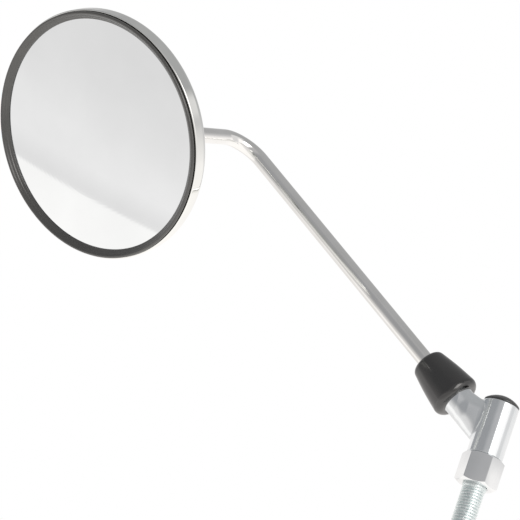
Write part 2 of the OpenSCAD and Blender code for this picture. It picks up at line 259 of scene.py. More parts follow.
# Moulded black rubber: finely grained, a little greyer where it bloomed, glossier on the boot than on the ring
def mouldedRubber(name, dark, light, rough, grainDepthMm):
    material, tree, shader, place = newMaterial(name, {"Specular IOR Level": 1.0, "IOR": 1.52})
    bloom = noiseBetween(tree, place, 6.0, 0.0, 1.0)
    tree.links.new(mixColours(tree, bloom, dark, light), shader.inputs["Base Color"])
    tree.links.new(noiseBetween(tree, place, 1.1, *rough), shader.inputs["Roughness"])
    addBump(tree, shader, noiseBetween(tree, place, 0.7, 0.0, 1.0, detail=1.0), grainDepthMm)
    return material


bootRubber = mouldedRubber("blackBootRubber", "#100F0F", "#171615", rough=(0.10, 0.15), grainDepthMm=0.0008)
ringRubber = mouldedRubber("blackRingRubber", "#3B3A38", "#454441", rough=(0.20, 0.28), grainDepthMm=0.002)
plugPlastic = mouldedRubber("blackPlugPlastic", "#1B1B1B", "#252525", rough=(0.30, 0.40), grainDepthMm=0.002)


# Back-silvered float glass: a mirror, with a breath of haze and a thin clear face over the silver
def silveredGlass(name):
    material, tree, shader, place = newMaterial(
        name, {"Metallic": 1.0, "Coat Weight": 0.25, "Coat Roughness": 0.02, "Coat IOR": 1.52})
    haze = noiseBetween(tree, place, 30.0, 0.0, 1.0, detail=4.0)
    tree.links.new(mixColours(tree, haze, "#E1E4E6", "#E6E9EB"), shader.inputs["Base Color"])
    tree.links.new(noiseBetween(tree, place, 8.0, 0.015, 0.03), shader.inputs["Roughness"])
    return material


mirrorSilver = silveredGlass("backSilveredGlass")


# Natural nylon: off-white and waxy, with soft cloudy patches
def naturalNylon(name):
    material, tree, shader, place = newMaterial(name, {"IOR": 1.53})
    cloud = noiseBetween(tree, place, 3.0, 0.0, 1.0)
    tree.links.new(mixColours(tree, cloud, "#DAD5C6", "#E7E3D7"), shader.inputs["Base Color"])
    tree.links.new(noiseBetween(tree, place, 0.9, 0.32, 0.44), shader.inputs["Roughness"])
    addBump(tree, shader, noiseBetween(tree, place, 0.4, 0.0, 1.0), 0.004)
    return material


# Closed-cell foam sheet: dull grey, pitted with cells of half a millimetre, with painted shade darkening each
# pit
def closedFoam(name):
    material, tree, shader, place = newMaterial(name, {"Roughness": 0.95})
    cells = addNode(tree, "ShaderNodeTexVoronoi", {}, {"Vector": place, "Scale": 1 / (0.5 * mm)})
    spread = addNode(tree, "ShaderNodeMapRange", {}, {"Value": cells.outputs["Distance"], "From Max": 0.6})
    depth = spread.outputs["Result"]
    # the pit depth also darkens the colour down in each cell: painted shade in the pits
    tree.links.new(mixColours(tree, depth, "#55534E", "#75726B"), shader.inputs["Base Color"])
    addBump(tree, shader, depth, 0.08)
    return material


seatNylon = naturalNylon("mouldedNylon")
padFoam = closedFoam("closedCellFoam")
print("materials made")

# Camera: the photograph's own, from the fitted view of the nut, the rod and the rim
cameraView = {
    "place": (0.19124, -0.78846, -0.20462),  # metres
    "heading": 21.876,  # degrees from +Y towards -X
    "climb": 18.210,
    "roll": 20.951,
    "lens": 138.46,  # on a 36 mm sensor
}


def makeCamera(view):
    data = bpy.data.cameras.new("photoView")
    data.sensor_width = 36
    data.lens = view["lens"]
    data.clip_start, data.clip_end = 0.01, 100
    camera = bpy.data.objects.new("photoView", data)
    bpy.context.scene.collection.objects.link(camera)
    turn = (Matrix.Rotation(math.radians(view["heading"]), 4, "Z")
            @ Matrix.Rotation(math.radians(90 + view["climb"]), 4, "X")
            @ Matrix.Rotation(math.radians(view["roll"]), 4, "Z"))
    camera.matrix_world = Matrix.Translation(view["place"]) @ turn
    bpy.context.scene.camera = camera


makeCamera(cameraView)

# Studio: white paper below and behind, and a grey room in front with lighter and darker patches.
# Every tone is the one the chrome shows.
studio = {
    "paperEdge": (-0.0913, -0.9128, 0.3980),  # the paper ends in a plane through the object
    "edgeBlur": 0.0025,
    # The floor before the paper, by its distance from the paper's edge
    "edgeTones": [(0.0, "#E4E4E4"), (0.008, "#E3E3E3"), (0.03, "#ECECEC"), (0.06, "#EAEAEA"),
                  (0.09, "#E5E5E5"), (0.15, "#DFDFDF"), (0.4, "#D6D6D6")],
    "floorFade": (-0.45, -0.54),  # the room turns into that floor between these heights
    # Paper and room, by height from straight down to straight up
    "paperTones": [(-1.0, "#FDFDFC"), (-0.45, "#FAFAF9"), (-0.05, "#F4F4F4"), (0.22, "#F0F0F0"),
                   (0.50, "#C4C5C7"), (0.75, "#A6A8AA"), (1.0, "#A2A4A6")],
    "roomTones": [(-0.75, "#EAEAEA"), (-0.57, "#E0E0E0"), (-0.39, "#C9C9C9"), (-0.24, "#B4B5B6"),
                  (0.0, "#A3A4A6"), (0.27, "#999B9E"), (0.7, "#9EA0A2"), (1.0, "#A2A4A6")],
    "patches": [  # degrees: azimuth from -Y towards +X, height, half width and half height
        {"azimuth": -125, "height": -12, "wide": 38, "tall": 18, "blur": 0.5, "tone": "#E2E2E2"},
        {"azimuth": -32, "height": 14, "wide": 26, "tall": 28, "blur": 0.9, "tone": "#96989B"},
        {"azimuth": 22, "height": 16, "wide": 24, "tall": 26, "blur": 1.0, "tone": "#AFB0B2"},
        {"azimuth": 94, "height": 14, "wide": 18, "tall": 34, "blur": 0.25, "tone": "#D6D7D8"},
        {"azimuth": 58, "height": 7, "wide": 24, "tall": 23, "blur": 0.5, "tone": "#FFFFFF"},
        {"azimuth": 46, "height": 11, "wide": 13, "tall": 17, "blur": 0.6, "tone": "#FFFFFF", "gain": 2.6},
    ],
    "plateTint": "#E7EAEC",  # the chrome's own colour, which the tones are divided by
    "skyForMatte": 0.62,  # strength of the plain white sky that lights everything matte
}


def toneSeen(hexText, gain=1.0):
    tint = linearColour(studio["plateTint"])
    return tuple(gain * c / t for c, t in zip(linearColour(hexText)[:3], tint)) + (1.0,)


def directionOf(azimuth, height):
    a, h = math.radians(azimuth), math.radians(height)
    return Vector((math.sin(a) * math.cos(h), -math.cos(a) * math.cos(h), math.sin(h)))


def dotWith(tree, direction, vector):
    dot = addNode(tree, "ShaderNodeVectorMath", {"operation": "DOT_PRODUCT"}, {0: direction, 1: tuple(vector)})
    return dot.outputs["Value"]


def smoothStep(tree, value, start, end):
    return addNode(tree, "ShaderNodeMapRange", {"interpolation_type": "SMOOTHSTEP"},
                   {"Value": value, "From Min": start, "From Max": end}).outputs["Result"]


# A ramp over levels from -1 to 1; moving a stop can reorder them, so their colours follow in a second pass
def toneRamp(tree, height, tones):
    factor = addNode(tree, "ShaderNodeMapRange", {}, {"Value": height, "From Min": -1.0, "From Max": 1.0})
    ramp = addNode(tree, "ShaderNodeValToRGB", {}, {"Fac": factor.outputs["Result"]})
    stops = ramp.color_ramp.elements
    while len(stops) < len(tones):
        stops.new(0.5)
    for stop, (level, tone) in zip(stops, tones):
        stop.position = (level + 1) / 2
    for stop, (level, tone) in zip(sorted(stops, key=lambda s: s.position), tones):
        stop.color = toneSeen(tone)
    return ramp.outputs["Color"]


def mixTones(tree, factor, under, over):
    mix = addNode(tree, "ShaderNodeMix", {"data_type": "RGBA"}, {0: factor, 6: under, 7: over})
    return mix.outputs[2]


# 1 inside a soft-edged rectangle of directions, 0 outside it
def patchMask(tree, direction, patch):
    centre = directionOf(patch["azimuth"], patch["height"])
    side = directionOf(patch["azimuth"] + 90, 0)
    up = centre.cross(side)
    mask = smoothStep(tree, dotWith(tree, direction, centre), 0.0, 0.05)
    spread = patch["blur"] / 2
    for axis, half in ((side, patch["wide"]), (up, patch["tall"])):
        reach = math.sin(math.radians(half))
        away = addNode(tree, "ShaderNodeMath", {"operation": "ABSOLUTE"}, {0: dotWith(tree, direction, axis)})
        inside = smoothStep(tree, away.outputs[0], reach * (1 + spread), reach * (1 - spread))
        mask = addNode(tree, "ShaderNodeMath", {"operation": "MULTIPLY"}, {0: mask, 1: inside}).outputs[0]
    return mask


def makeWorld():
    world = bpy.data.worlds.new("studio")
    bpy.context.scene.world = world
    world.use_nodes = True
    tree = world.node_tree
    tree.nodes.clear()
    direction = addNode(tree, "ShaderNodeTexCoord").outputs["Generated"]
    height = dotWith(tree, direction, (0, 0, 1))
    edge = dotWith(tree, direction, studio["paperEdge"])
    room = toneRamp(tree, height, studio["roomTones"])
    isFloor = smoothStep(tree, height, *studio["floorFade"])
    room = mixTones(tree, isFloor, room, toneRamp(tree, edge, studio["edgeTones"]))
    paper = toneRamp(tree, height, studio["paperTones"])
    isRoom = smoothStep(tree, edge, -studio["edgeBlur"], studio["edgeBlur"])
    tones = mixTones(tree, isRoom, paper, room)
    for patch in studio["patches"]:
        tone = toneSeen(patch["tone"], patch.get("gain", 1.0))
        tones = mixTones(tree, patchMask(tree, direction, patch), tones, tone)
    rays = addNode(tree, "ShaderNodeLightPath")
    seen = addNode(tree, "ShaderNodeBackground", {}, {"Color": tones, "Strength": 1.0})
    plain = (1, 1, 1, 1)
    matte = addNode(tree, "ShaderNodeBackground", {}, {"Color": plain, "Strength": studio["skyForMatte"]})
    white = addNode(tree, "ShaderNodeBackground", {}, {"Color": plain, "Strength": 1.0})
    glossy = addNode(tree, "ShaderNodeMixShader", {}, {
        0: rays.outputs["Is Glossy Ray"], 1: matte.outputs[0], 2: seen.outputs[0]})
    clear = addNode(tree, "ShaderNodeMath", {"operation": "MAXIMUM"}, {
        0: rays.outputs["Is Camera Ray"], 1: rays.outputs["Is Transmission Ray"]})
    whole = addNode(tree, "ShaderNodeMixShader", {}, {
        0: clear.outputs[0], 1: glossy.outputs[0], 2: white.outputs[0]})
    addNode(tree, "ShaderNodeOutputWorld", {}, {"Surface": whole.outputs[0]})


def makeFloor(level, half):
    mesh = bpy.data.meshes.new("floor")
    corners = [(-half, -half, level), (half, -half, level), (half, half, level), (-half, half, level)]
    mesh.from_pydata(corners, [], [(0, 1, 2, 3)])
    floor = bpy.data.objects.new("floor", mesh)
    bpy.context.scene.collection.objects.link(floor)
    # Matte white paper, seen through from below so that a low camera isn't blocked
    material, tree, shader, place = newMaterial("studioPaper", {"Roughness": 0.9, "Specular IOR Level": 0.1})
    cloud = noiseBetween(tree, place, 400.0, 0.0, 1.0)
    tree.links.new(mixColours(tree, cloud, "#F3F3F2", "#F6F6F5"), shader.inputs["Base Color"])
    side = addNode(tree, "ShaderNodeNewGeometry").outputs["Backfacing"]
    through = addNode(tree, "ShaderNodeBsdfTransparent")
    both = addNode(tree, "ShaderNodeMixShader", {}, {0: side, 1: shader.outputs[0], 2: through.outputs[0]})
    tree.links.new(both.outputs[0], tree.nodes["Material Output"].inputs["Surface"])
    mesh.materials.append(material)
    floor.visible_glossy = False  # the chrome sees the studio's own paper


def addLamp(name, azimuth, height, distance, size, watts):
    data = bpy.data.lights.new(name, "AREA")
    data.size = size
    data.energy = watts
    lamp = bpy.data.objects.new(name, data)
    bpy.context.scene.collection.objects.link(lamp)
    towards = directionOf(azimuth, height)
    lamp.location = (cadBox[0] + cadBox[1]) / 2 + towards * distance
    lamp.rotation_mode = "QUATERNION"
    lamp.rotation_quaternion = (-towards).to_track_quat("-Z", "Y")
    lamp.visible_glossy = False


makeWorld()
makeFloor(level=-0.55, half=8.0)
addLamp("softLightRight", azimuth=50, height=40, distance=1.2, size=0.7, watts=5.0)
addLamp("fillLeft", azimuth=-70, height=55, distance=1.4, size=0.9, watts=4.0)
print("camera, studio and lamps made")

# Stud: rolled thread cut by a rule, with its collar below the lock nut
studSizes = {
    "radius": 4.87,
    "pitch": 1.25,
    "depth": 0.6,
    "crest": 0.2,  # share of the pitch that is flat at the crest
    "free": 21.0,
    "threadTop": -0.05,
    "reach": 29.0,  # height of the upper end inside the holder
    "chamfer": 1.1,
    "collarRadius": 5.25,
    "collarLow": -0.06,  # the collar just covers the thread's top
    "collarHigh": 0.98,
    "collarRound": 0.2,
    "lowInset": 0.3,
    "topChamfer": 1.0,
    "runout": 0.9,  # length over which the groove fades out under the collar
    "aroundSteps": 120,
    "alongSteps": 600,
}


# A tree that turns a grid into a closed threaded rod: X of the grid is the turn, Y the length
def threadTree(material):
    tree = bpy.data.node_groups.new("rolledThread", "GeometryNodeTree")
    tree.interface.new_socket("Geometry", in_out="OUTPUT", socket_type="NodeSocketGeometry")
    sizes = {name: studSizes[name] for name in ("radius", "pitch", "depth", "crest", "chamfer", "runout")}
    sizes.update(bottom=-studSizes["free"], top=studSizes["threadTop"])
    for name, value in sizes.items():
        socket = tree.interface.new_socket(name, in_out="INPUT", socket_type="NodeSocketFloat")
        socket.default_value = value
    for name in ("aroundSteps", "alongSteps"):
        socket = tree.interface.new_socket(name, in_out="INPUT", socket_type="NodeSocketInt")
        socket.default_value = studSizes[name]
    given = addNode(tree, "NodeGroupInput").outputs

    def calc(operation, a, b=0.0, c=0.0):
        return addNode(tree, "ShaderNodeMath", {"operation": operation}, {0: a, 1: b, 2: c}).outputs[0]

    grid = addNode(tree, "GeometryNodeMeshGrid", {}, {
        "Size X": 1.0, "Size Y": 1.0, "Vertices X": given["aroundSteps"], "Vertices Y": given["alongSteps"]})
    position = addNode(tree, "GeometryNodeInputPosition").outputs[0]
    spot = addNode(tree, "ShaderNodeSeparateXYZ", {}, {0: position}).outputs
    turn = calc("MULTIPLY", calc("ADD", spot["X"], 0.5), 2 * math.pi)
    share = calc("ADD", spot["Y"], 0.5)
    # The outermost rows close the ends on the axis
    margin = 1e-4
    inner = calc("MULTIPLY", calc("GREATER_THAN", share, margin), calc("LESS_THAN", share, 1 - margin))
    length = calc("SUBTRACT", given["top"], given["bottom"])
    z = calc("ADD", given["bottom"], calc("MULTIPLY", share, length))
    phase = calc("FRACT", calc("SUBTRACT", calc("DIVIDE", z, given["pitch"]), calc("ADD", spot["X"], 0.5)))
    ridge = calc("ABSOLUTE", calc("SUBTRACT", phase, 0.5))
    cut = addNode(tree, "ShaderNodeMapRange", {"interpolation_type": "SMOOTHSTEP"}, {
        "Value": ridge, "From Min": given["crest"], "From Max": 0.5}).outputs["Result"]
    fade = addNode(tree, "ShaderNodeMapRange", {}, {
        "Value": z, "From Min": calc("SUBTRACT", given["top"], given["runout"]), "From Max": given["top"],
        "To Min": 1.0, "To Max": 0.0}).outputs["Result"]
    threaded = calc("SUBTRACT", given["radius"], calc("MULTIPLY", calc("MULTIPLY", cut, given["depth"]), fade))
    tip = calc("SUBTRACT", given["radius"], given["chamfer"])
    cone = calc("ADD", tip, calc("SUBTRACT", z, given["bottom"]))
    radius = calc("MULTIPLY", calc("MINIMUM", threaded, cone), inner)
    x = calc("MULTIPLY", radius, calc("COSINE", turn))
    y = calc("MULTIPLY", radius, calc("SINE", turn))
    point = addNode(tree, "ShaderNodeCombineXYZ", {}, {0: x, 1: y, 2: z})
    metres = addNode(tree, "ShaderNodeVectorMath", {"operation": "SCALE"}, {0: point.outputs[0], "Scale": mm})
    bent = addNode(tree, "GeometryNodeSetPosition", {}, {
        "Geometry": grid.outputs["Mesh"], "Position": metres.outputs[0]})
    joined = addNode(tree, "GeometryNodeMergeByDistance", {}, {"Geometry": bent.outputs[0], "Distance": 1e-7})
    smooth = addNode(tree, "GeometryNodeSetShadeSmooth", {}, {"Geometry": joined.outputs[0]})
    real = addNode(tree, "GeometryNodeRealizeInstances", {}, {0: smooth.outputs[0]})
    finished = addNode(tree, "GeometryNodeSetMaterial", {}, {"Geometry": real.outputs[0], "Material": material})
    addNode(tree, "NodeGroupOutput", {}, {0: finished.outputs[0]})
    return tree


# Runs a tree on an empty mesh and keeps its result as a plain mesh
def runTree(name, tree, inputs=None):
    carrier = bpy.data.objects.new(name + "Carrier", bpy.data.meshes.new(name + "Carrier"))
    bpy.context.scene.collection.objects.link(carrier)
    modifier = carrier.modifiers.new("tree", "NODES")
    modifier.node_group = tree
    sockets = {item.name: item.identifier for item in tree.interface.items_tree if item.in_out == "INPUT"}
    for key, value in (inputs or {}).items():
        modifier[sockets[key]] = value
    bpy.context.view_layer.update()
    evaluated = carrier.evaluated_get(bpy.context.evaluated_depsgraph_get())
    mesh = bpy.data.meshes.new_from_object(evaluated)
    bpy.data.objects.remove(carrier)
    mesh.name = name
    piece = bpy.data.objects.new(name, mesh)
    bpy.context.scene.collection.objects.link(piece)
    return piece


def makeStud():
    s = studSizes
    thread = runTree("studThread", threadTree(zincBright))
    turnNormalsOut(thread)
    dress(thread, "mounting", "zinc_stud", "stud")
    r, c, low, high, edge = s["radius"], s["collarRadius"], s["collarLow"], s["collarHigh"], s["collarRound"]
    top, cut = s["reach"], s["topChamfer"]
    outline = [(0, low), (r - s["lowInset"], low)] + arcPoints((c - edge, low + edge), edge, -90, 0, 4)
    outline += [(c, high), (r, high), (r, top - cut), (r - cut, top), (0, top)]
    dress(turnedPiece("studShank", outline, onStud, zincBright, sides=128), "mounting", "zinc_stud")


makeStud()
print("stud made")

# Lock nut: a hexagon bar cut to length, with turned chamfers at both faces
nutSizes = {
    "acrossFlats": 16.0,
    "height": 13.0,
    "low": 1.0,
    "turn": 5.0,
    "bore": 5.05,
    "sink": 0.7,  # countersink of the bore
    "faceRadius": 7.54,
    "slope": 0.6,  # rise of the chamfer for each millimetre outwards
    "cornerRadius": 0.1,
    "edgeRadius": 0.12,
    "sharpFrom": 35,  # degrees between two faces whose edge is drawn sharp
    "columns": 360,
}


# Distance from the axis to the wall, with a corner at angle 0 and each corner eased by a small radius
def hexRadius(angle, half, corner):
    sector = math.pi / 3
    a = angle % sector - sector / 2
    flat = half / math.cos(a)
    inner = half - corner
    limit = math.atan2(math.tan(sector / 2) * inner, half)
    if abs(a) <= limit:
        return flat
    cx, cy = inner, inner * math.tan(sector / 2)
    dx, dy = math.cos(abs(a)), math.sin(abs(a))
    along = cx * dx + cy * dy
    off = cx * cx + cy * cy - along * along
    return along + math.sqrt(max(0.0, corner * corner - off))


# Columns of points round the axis; three close points ease each edge of a column
def hexNutPiece(name, s, place, material):
    verts, faces = [], []
    count, half, e = s["columns"], s["acrossFlats"] / 2, s["edgeRadius"]
    for k in range(count):
        angle = 2 * math.pi * k / count
        wall = hexRadius(angle, half, s["cornerRadius"])
        drop = (wall - s["faceRadius"]) * s["slope"]
        lower = [(s["bore"], s["sink"]), (s["bore"] + s["sink"], 0.0), (s["faceRadius"] - e, 0.0),
                 (s["faceRadius"] - e / 3, e * 0.06), (s["faceRadius"] + e, e * s["slope"]),
                 (wall - e, drop - e * s["slope"]), (wall - e * 0.25, drop - e * 0.05), (wall, drop + e)]
        column = lower + [(r, s["height"] - z) for r, z in reversed(lower)]
        turned = math.radians(s["turn"]) + angle
        verts += [(r * math.cos(turned), r * math.sin(turned), s["low"] + z) for r, z in column]
    rows = len(verts) // count
    for k in range(count):
        a, b = k * rows, (k + 1) % count * rows
        for i in range(rows):
            j = (i + 1) % rows
            faces.append((a + i, b + i, b + j, a + j))
    piece = meshPiece(name, verts, faces, place, material)
    piece.data.set_sharp_from_angle(angle=math.radians(s["sharpFrom"]))
    return piece


dress(hexNutPiece("lockNut", nutSizes, onStud, nutChrome), "mounting", "nut_chrome", "lock_nut")
print("lock nut made")

# Holder: an upright barrel with a leaning spigot, cast as one and polished
holderSizes = {
    "barrelRadius": 7.7,
    "low": 14.0,
    "high": 37.9,
    "topRound": 0.6,
    "footRound": 0.25,
    "spigotRadius": 6.8,
    "spigotLength": 26.0,
    "spigotRound": 0.4,
    "spigotLow": 0.6,  # it is cut off this far above the barrel's foot
    "webRadius": 5.5,
    "webRound": 0.4,
    "webBlend": 4.0,
    "webShort": 1.5,  # its end stops short of the spigot's middle
    "crease": 0.9,
    "waist": 0.3,  # how much the spigot narrows sideways where it meets the barrel
    "waistStart": 17.0,  # it begins to narrow this far from the upright axis
    "waistRun": 10.0,
    "voxel": 0.25,
    "moves": 6,  # steps that bring the voxel mesh onto the form
    "longestMove": 0.6,
    "leastSlope": 0.3,
    "studBore": 5.05,
    "capBore": 5.5,
    "capDepth": 6.0,
    "armBore": 3.05,
    "armBoreStart": 10.0,
}


# Signed distances in millimetres: a cylinder with rounded rims, and two forms joined by a fillet
def roundedCylinder(radial, along, radius, low, high, edge):
    qx = radial - (radius - edge)
    qy = np.abs(along - (low + high) / 2) - ((high - low) / 2 - edge)
    outside = np.hypot(np.maximum(qx, 0), np.maximum(qy, 0))
    return outside + np.minimum(np.maximum(qx, qy), 0) - edge


def smoothUnion(a, b, blend):
    h = np.clip(0.5 + 0.5 * (b - a) / blend, 0, 1)
    return b * (1 - h) + a * h - blend * h * (1 - h)


# Signed distance of the holder at points given in millimetres
def holderDistance(p, s, spigotZ, axis):
    x, y, z = p[:, 0], p[:, 1], p[:, 2]
    radial = np.hypot(x, y)
    middle = (s["low"] + s["high"]) / 2
    edge = np.where(z > middle, s["topRound"], s["footRound"])
    barrel = roundedCylinder(radial, z, s["barrelRadius"], s["low"], s["high"], edge)
    q = p - np.array([0, 0, spigotZ])
    along = q @ axis
    fromAxis = np.linalg.norm(q - np.outer(along, axis), axis=1)
    narrow = 1 + s["waist"] * np.clip((x + s["waistStart"]) / s["waistRun"], 0, 1)
    away = np.hypot(q[:, 0] * axis[2] - q[:, 2] * axis[0], y * narrow)
    spigot = roundedCylinder(away, along, s["spigotRadius"], 0.0, s["spigotLength"], s["spigotRound"])
    spigot = np.maximum(spigot, -(z - s["low"] - s["spigotLow"]))
    webZ = s["high"] - s["topRound"] - s["webRadius"]
    webReach = (webZ - spigotZ) * -axis[0] / axis[2] - s["webShort"]
    web = roundedCylinder(np.hypot(y, z - webZ), -x, s["webRadius"], 0.0, webReach, s["webRound"])
    arm = smoothUnion(spigot, web, s["webBlend"])
    body = smoothUnion(barrel, arm, s["crease"])
    body = np.maximum(body, s["studBore"] - radial)
    capHole = np.maximum(radial - s["capBore"], s["high"] - s["capDepth"] - z)
    body = np.maximum(body, -capHole)
    armHole = np.maximum(fromAxis - s["armBore"], s["armBoreStart"] - along)
    return np.maximum(body, -armHole)


def distanceSlope(points, measure, step=0.01):
    slope = np.zeros_like(points)
    for k in range(3):
        shift = np.zeros(3)
        shift[k] = step
        slope[:, k] = (measure(points + shift) - measure(points - shift)) / (2 * step)
    return slope


def makeHolder():
    s = holderSizes
    spigotZ = joints["arm_twist"]["pos_m"][2] / mm
    axis = np.array(armDir)
    tiny = 1e-9  # keeps a zero out of the divisions

    def measure(points):
        return holderDistance(points, s, spigotZ, axis)

    mesh = frame["nodes"]["holder"].data.copy()
    piece = bpy.data.objects.new("holderCasting", mesh)
    bpy.context.scene.collection.objects.link(piece)
    weld = piece.modifiers.new("weld", "WELD")
    weld.merge_threshold = 1e-6
    remesh = piece.modifiers.new("remesh", "REMESH")
    remesh.mode = "VOXEL"
    remesh.voxel_size = s["voxel"] * mm
    bpy.context.view_layer.update()
    evaluated = piece.evaluated_get(bpy.context.evaluated_depsgraph_get())
    plain = bpy.data.meshes.new_from_object(evaluated)
    piece.modifiers.clear()
    piece.data = plain
    count = len(plain.vertices)
    flat = np.empty(count * 3)
    plain.vertices.foreach_get("co", flat)
    points = flat.reshape(-1, 3) / mm
    for _ in range(s["moves"]):
        slope = distanceSlope(points, measure)
        length = np.maximum(np.linalg.norm(slope, axis=1), s["leastSlope"])
        move = (measure(points) / length ** 2)[:, None] * slope
        far = np.linalg.norm(move, axis=1)
        move *= np.minimum(1, s["longestMove"] / np.maximum(far, tiny))[:, None]
        points -= move
    plain.vertices.foreach_set("co", (points * mm).ravel())
    plain.update()
    plain.shade_smooth()
    normals = distanceSlope(points, measure)
    normals /= np.maximum(np.linalg.norm(normals, axis=1), tiny)[:, None]
    plain.normals_split_custom_set_from_vertices([tuple(n) for n in normals])
    plain.materials.clear()
    plain.materials.append(castChrome)
    dress(piece, "holder", "holder_chrome", "holder")


makeHolder()
print("holder made")

# Cap: a black plug pressed into the barrel, with a low dome
capSizes = {
    "radius": 7.6,
    "stem": 5.5,
    "stemDepth": 5.0,
    "stemChamfer": 0.5,
    "dome": 3.6,
    "edge": 0.6,
    "footRound": 0.15,
    "brimRound": 0.2,
    "low": 37.9,
}


def makeCap():
    s = capSizes
    rise = s["dome"] - s["edge"]
    ball = (s["radius"] ** 2 + rise ** 2) / (2 * rise)
    foot, brim, cut = s["footRound"], s["brimRound"], s["stemChamfer"]
    sweep = math.degrees(math.asin((s["radius"] - foot) / ball))
    z, low = s["low"], s["low"] - s["stemDepth"]
    outline = [(0, low), (s["stem"] - cut, low), (s["stem"], low + cut), (s["stem"], z)]
    outline += arcPoints((s["radius"] - foot, z + foot), foot, -90, 0, 3)
    outline += arcPoints((s["radius"] - brim, z + s["edge"] - brim / 2), brim, 0, 70, 5)
    outline += arcPoints((0, z + s["dome"] - ball), ball, 90 - sweep + 1, 90, 24)
    dress(turnedPiece("barrelPlug", outline, onStud, plugPlastic), "holder", "cap_rubber", "barrel_cap")


makeCap()

# Arm: one rod bent at its far end, turned down at the foot and behind the ball
rodSizes = {
    "radius": 3.5,
    "foot": 10.5,  # distances along the arm from the holder's upright axis
    "shoulder": 32.5,
    "thread": 3.0,
    "armLength": 189.0,
    "bend": 14.0,
    "neck": 2.5,
    "neckEnd": 13.5,  # distances from the ball's middle
    "cone": 1.0,
    "ballSink": 3.5,
    "shoulderRun": 0.3,
    "stretch": 0.25,  # length of one ring of faces
    "bendSteps": 72,
    "sides": 72,
}


# A tree that sweeps a circle along two straight legs with a filleted corner, thinner at both ends
def rodTree(material):
    s = rodSizes
    tree = bpy.data.node_groups.new("bentRod", "GeometryNodeTree")
    tree.interface.new_socket("Geometry", in_out="OUTPUT", socket_type="NodeSocketGeometry")
    for name in ("foot", "corner", "end"):
        tree.interface.new_socket(name, in_out="INPUT", socket_type="NodeSocketVector")
    for name in ("radius", "bend", "thread", "neck", "cone", "shoulderAt", "coneAt"):
        tree.interface.new_socket(name, in_out="INPUT", socket_type="NodeSocketFloat")
    for name in ("bendSteps", "sides"):
        tree.interface.new_socket(name, in_out="INPUT", socket_type="NodeSocketInt")
    given = addNode(tree, "NodeGroupInput").outputs
    line = addNode(tree, "GeometryNodeCurvePrimitiveLine", {}, {"Start": given["foot"], "End": given["end"]})
    three = addNode(tree, "GeometryNodeResampleCurve", {"mode": "COUNT"}, {
        "Curve": line.outputs[0], "Count": 3})
    middle = addNode(tree, "FunctionNodeCompare", {"data_type": "INT", "operation": "EQUAL"}, {
        2: addNode(tree, "GeometryNodeInputIndex").outputs[0], 3: 1})
    bent = addNode(tree, "GeometryNodeSetPosition", {}, {
        "Geometry": three.outputs[0], "Selection": middle.outputs[0], "Position": given["corner"]})
    filleted = addNode(tree, "GeometryNodeFilletCurve", {"mode": "POLY"}, {
        "Curve": bent.outputs[0], "Count": given["bendSteps"], "Radius": given["bend"]})
    fine = addNode(tree, "GeometryNodeResampleCurve", {"mode": "LENGTH"}, {
        "Curve": filleted.outputs[0], "Length": s["stretch"] * mm})
    along = addNode(tree, "GeometryNodeSplineParameter").outputs["Length"]

    def calc(operation, a, b=0.0):
        return addNode(tree, "ShaderNodeMath", {"operation": operation}, {0: a, 1: b}).outputs[0]

    # Turned down to the thread below the shoulder
    foot = addNode(tree, "ShaderNodeMapRange", {}, {
        "Value": along, "From Min": given["shoulderAt"],
        "From Max": calc("ADD", given["shoulderAt"], s["shoulderRun"] * mm),
        "To Min": calc("DIVIDE", given["thread"], given["radius"]), "To Max": 1.0}).outputs["Result"]
    neck = addNode(tree, "ShaderNodeMapRange", {}, {
        "Value": along, "From Min": given["coneAt"], "From Max": calc("ADD", given["coneAt"], given["cone"]),
        "To Min": 1.0, "To Max": calc("DIVIDE", given["neck"], given["radius"])}).outputs["Result"]
    circle = addNode(tree, "GeometryNodeCurvePrimitiveCircle", {}, {
        "Resolution": given["sides"], "Radius": given["radius"]})
    tube = addNode(tree, "GeometryNodeCurveToMesh", {}, {
        "Curve": fine.outputs[0], "Profile Curve": circle.outputs[0],
        "Scale": calc("MINIMUM", foot, neck), "Fill Caps": True})
    smooth = addNode(tree, "GeometryNodeSetShadeSmooth", {}, {"Geometry": tube.outputs[0]})
    real = addNode(tree, "GeometryNodeRealizeInstances", {}, {0: smooth.outputs[0]})
    finished = addNode(tree, "GeometryNodeSetMaterial", {}, {"Geometry": real.outputs[0], "Material": material})
    addNode(tree, "NodeGroupOutput", {}, {0: finished.outputs[0]})
    return tree


def makeRod():
    s = rodSizes
    spigot = Vector(joints["arm_twist"]["pos_m"])
    corner = spigot + armDir * s["armLength"] * mm
    leg = (ballPlace - corner).length
    angle = armDir.angle(legDir)
    # The fillet is shorter than the corner it cuts off
    saved = s["bend"] * mm * (2 * math.tan(angle / 2) - angle)
    start = (s["armLength"] - s["foot"]) * mm
    coneAt = start + leg - saved - (s["neckEnd"] + s["cone"]) * mm
    rod = runTree("bentArmRod", rodTree(rodChrome), {
        "foot": spigot + armDir * s["foot"] * mm,
        "corner": corner,
        "end": ballPlace - legDir * s["ballSink"] * mm,
        "radius": s["radius"] * mm,
        "bend": s["bend"] * mm,
        "thread": s["thread"] * mm,
        "neck": s["neck"] * mm,
        "cone": s["cone"] * mm,
        "shoulderAt": (s["shoulder"] - s["foot"]) * mm,
        "coneAt": coneAt,
        "bendSteps": s["bendSteps"],
        "sides": s["sides"],
    })
    turnNormalsOut(rod)
    dress(rod, "arm", "arm_chrome", "arm_rod")


makeRod()
print("arm rod made")

# Ball end: hardened ball pressed on the neck
ballSizes = {"radius": 7.0, "neck": 2.5, "sink": 3.5}


